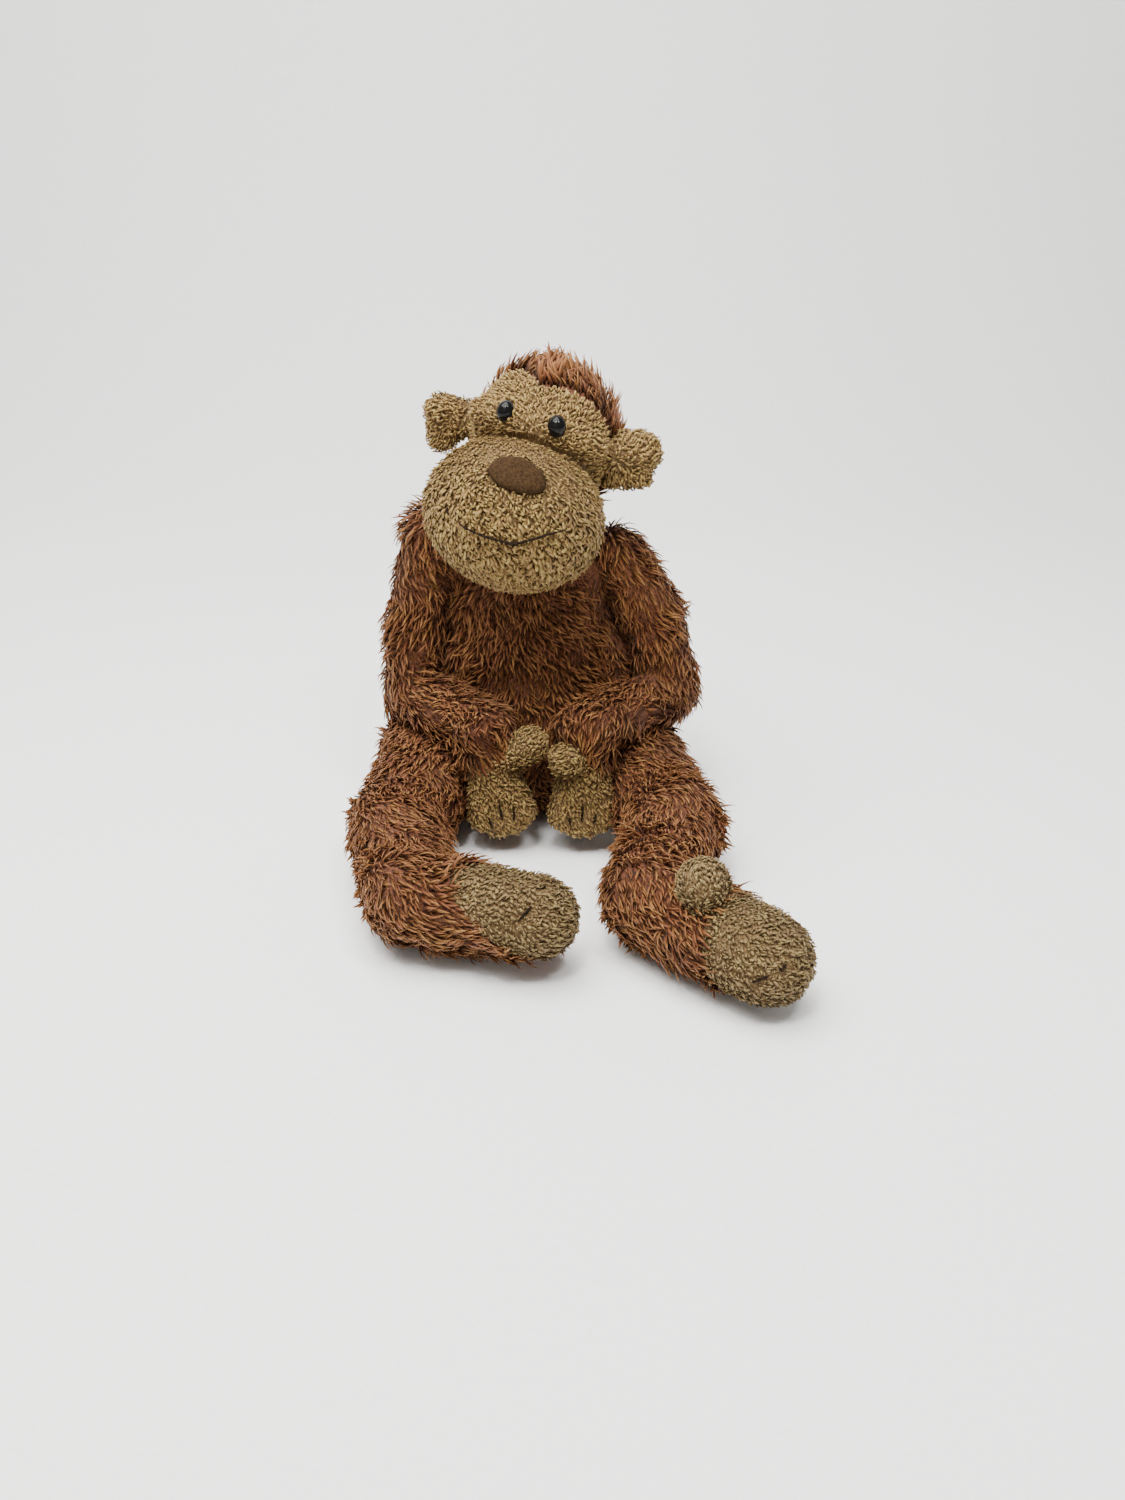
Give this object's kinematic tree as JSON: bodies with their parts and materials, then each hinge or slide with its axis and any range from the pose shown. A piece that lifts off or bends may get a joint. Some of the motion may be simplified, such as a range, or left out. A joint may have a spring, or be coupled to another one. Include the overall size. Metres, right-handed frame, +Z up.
{
  "type": "stuffed monkey",
  "caption": "Floppy stuffed monkey in shaggy rust pile cloth with a tan face, hands and feet, seated with its hands in its lap; head, ears, arms and legs bend at sewn folds.",
  "frame": {"origin": "middle of the flat seat, on the surface that the monkey sits on", "axes": "+Z up, -Y the way the torso faces, +X the monkey's own left side"},
  "size_m": [0.2224, 0.2727, 0.244],
  "materials": {
    "rust_pile_cloth": "shaggy silky pile",
    "tan_pile_cloth": "short curly pile",
    "polyester_filling": "loose fibre",
    "plastic_pellets": "small beads in a cloth bag",
    "nose_suede": "brushed suede",
    "eye_plastic": "polished black",
    "eye_washer_plastic": "moulded",
    "stitching_thread": "dark twisted thread"
  },
  "bodies": {
    "torso": {"torso_front_panel": "rust_pile_cloth", "torso_back_panel": "rust_pile_cloth", "torso_stuffing": "polyester_filling", "seat_pellet_bag": "plastic_pellets"},
    "neck": {"neck_gather": "rust_pile_cloth"},
    "head": {"face_panel": "tan_pile_cloth", "head_back_cover": "rust_pile_cloth", "head_stuffing": "polyester_filling", "muzzle_cover": "tan_pile_cloth", "muzzle_stuffing": "polyester_filling", "nose_patch": "nose_suede", "mouth_stitch": "stitching_thread", "right_eye": "eye_plastic", "left_eye": "eye_plastic", "right_eye_washer": "eye_washer_plastic", "left_eye_washer": "eye_washer_plastic"},
    "right_ear": {"right_ear_cover": "tan_pile_cloth", "right_ear_wadding": "polyester_filling"},
    "left_ear": {"left_ear_cover": "tan_pile_cloth", "left_ear_wadding": "polyester_filling"},
    "right_upper_arm": {"right_upper_arm_cover": "rust_pile_cloth", "right_upper_arm_stuffing": "polyester_filling"},
    "right_forearm": {"right_forearm_cover": "rust_pile_cloth", "right_forearm_stuffing": "polyester_filling"},
    "right_hand": {"right_sleeve_end": "rust_pile_cloth", "right_palm": "tan_pile_cloth", "right_hand_back": "tan_pile_cloth", "right_hand_pellets": "plastic_pellets", "right_thumb": "tan_pile_cloth", "right_finger_stitches": "stitching_thread"},
    "left_upper_arm": {"left_upper_arm_cover": "rust_pile_cloth", "left_upper_arm_stuffing": "polyester_filling"},
    "left_forearm": {"left_forearm_cover": "rust_pile_cloth", "left_forearm_stuffing": "polyester_filling"},
    "left_hand": {"left_sleeve_end": "rust_pile_cloth", "left_palm": "tan_pile_cloth", "left_hand_back": "tan_pile_cloth", "left_hand_pellets": "plastic_pellets", "left_thumb": "tan_pile_cloth", "left_finger_stitches": "stitching_thread"},
    "right_thigh": {"right_thigh_cover": "rust_pile_cloth", "right_thigh_stuffing": "polyester_filling"},
    "right_shin": {"right_shin_cover": "rust_pile_cloth", "right_shin_stuffing": "polyester_filling"},
    "right_foot": {"right_foot_sole": "tan_pile_cloth", "right_foot_top": "rust_pile_cloth", "right_foot_pellets": "plastic_pellets", "right_big_toe": "tan_pile_cloth", "right_toe_stitches": "stitching_thread"},
    "left_thigh": {"left_thigh_cover": "rust_pile_cloth", "left_thigh_stuffing": "polyester_filling"},
    "left_shin": {"left_shin_cover": "rust_pile_cloth", "left_shin_stuffing": "polyester_filling"},
    "left_foot": {"left_foot_sole": "tan_pile_cloth", "left_foot_top": "rust_pile_cloth", "left_foot_pellets": "plastic_pellets", "left_big_toe": "tan_pile_cloth", "left_toe_stitches": "stitching_thread"}
  },
  "joints": [
    {"name": "neck_turn", "type": "hinge", "parent": "torso", "child": "neck", "pos_m": [0, 0.005, 0.166], "axis": [0, 0, 1], "range_deg": [-15, 25]},
    {"name": "head_nod", "type": "hinge", "parent": "neck", "child": "head", "pos_m": [0, 0.005, 0.166], "axis": [1, 0, 0], "range_deg": [-35, 0]},
    {"name": "right_ear_fold", "type": "hinge", "parent": "head", "child": "right_ear", "pos_m": [-0.03423, 0.00559, 0.2155], "axis": [0.2017, -0.0503, 0.9781], "range_deg": [-30, 30], "stiffness_Nm_per_rad": 0.004},
    {"name": "left_ear_fold", "type": "hinge", "parent": "head", "child": "left_ear", "pos_m": [0.0436, -0.01381, 0.19845], "axis": [-0.2017, 0.0503, -0.9781], "range_deg": [-30, 30], "stiffness_Nm_per_rad": 0.004},
    {"name": "right_shoulder_swing", "type": "hinge", "parent": "torso", "child": "right_upper_arm", "pos_m": [-0.0495, 0.006, 0.149], "axis": [-1, 0, 0], "range_deg": [0, 56]},
    {"name": "right_elbow_bend", "type": "hinge", "parent": "right_upper_arm", "child": "right_forearm", "pos_m": [-0.069, -0.01, 0.0674], "axis": [1, 0, 0], "range_deg": [-35, 0]},
    {"name": "right_wrist_lift", "type": "hinge", "parent": "right_forearm", "child": "right_hand", "pos_m": [-0.026, -0.057, 0.0674], "axis": [1, 0, 0], "range_deg": [-70, 0]},
    {"name": "left_shoulder_swing", "type": "hinge", "parent": "torso", "child": "left_upper_arm", "pos_m": [0.0492, 0.006, 0.139], "axis": [-1, 0, 0], "range_deg": [0, 56]},
    {"name": "left_elbow_bend", "type": "hinge", "parent": "left_upper_arm", "child": "left_forearm", "pos_m": [0.073, -0.007, 0.0674], "axis": [1, 0, 0], "range_deg": [-35, 0]},
    {"name": "left_wrist_lift", "type": "hinge", "parent": "left_forearm", "child": "left_hand", "pos_m": [0.026, -0.057, 0.0674], "axis": [1, 0, 0], "range_deg": [-70, 0]},
    {"name": "right_hip_spread", "type": "hinge", "parent": "torso", "child": "right_thigh", "pos_m": [-0.04607, -0.0216, 0.0279], "axis": [0, 0, -1], "range_deg": [0, 40]},
    {"name": "right_knee_lift", "type": "hinge", "parent": "right_thigh", "child": "right_shin", "pos_m": [-0.07192, -0.08558, 0.0279], "axis": [-0.9744, -0.225, 0], "range_deg": [0, 55]},
    {"name": "right_ankle_turn", "type": "hinge", "parent": "right_shin", "child": "right_foot", "pos_m": [-0.0564, -0.15281, 0.0264], "axis": [0, 0, -1], "range_deg": [-4, 55]},
    {"name": "left_hip_spread", "type": "hinge", "parent": "torso", "child": "left_thigh", "pos_m": [0.04607, -0.0216, 0.0279], "axis": [0, 0, 1], "range_deg": [0, 40]},
    {"name": "left_knee_lift", "type": "hinge", "parent": "left_thigh", "child": "left_shin", "pos_m": [0.07192, -0.08558, 0.0279], "axis": [-0.9703, 0.2419, 0], "range_deg": [0, 55]},
    {"name": "left_ankle_turn", "type": "hinge", "parent": "left_shin", "child": "left_foot", "pos_m": [0.05523, -0.15253, 0.0264], "axis": [0, 0, 1], "range_deg": [-40, 20]}
  ]
}
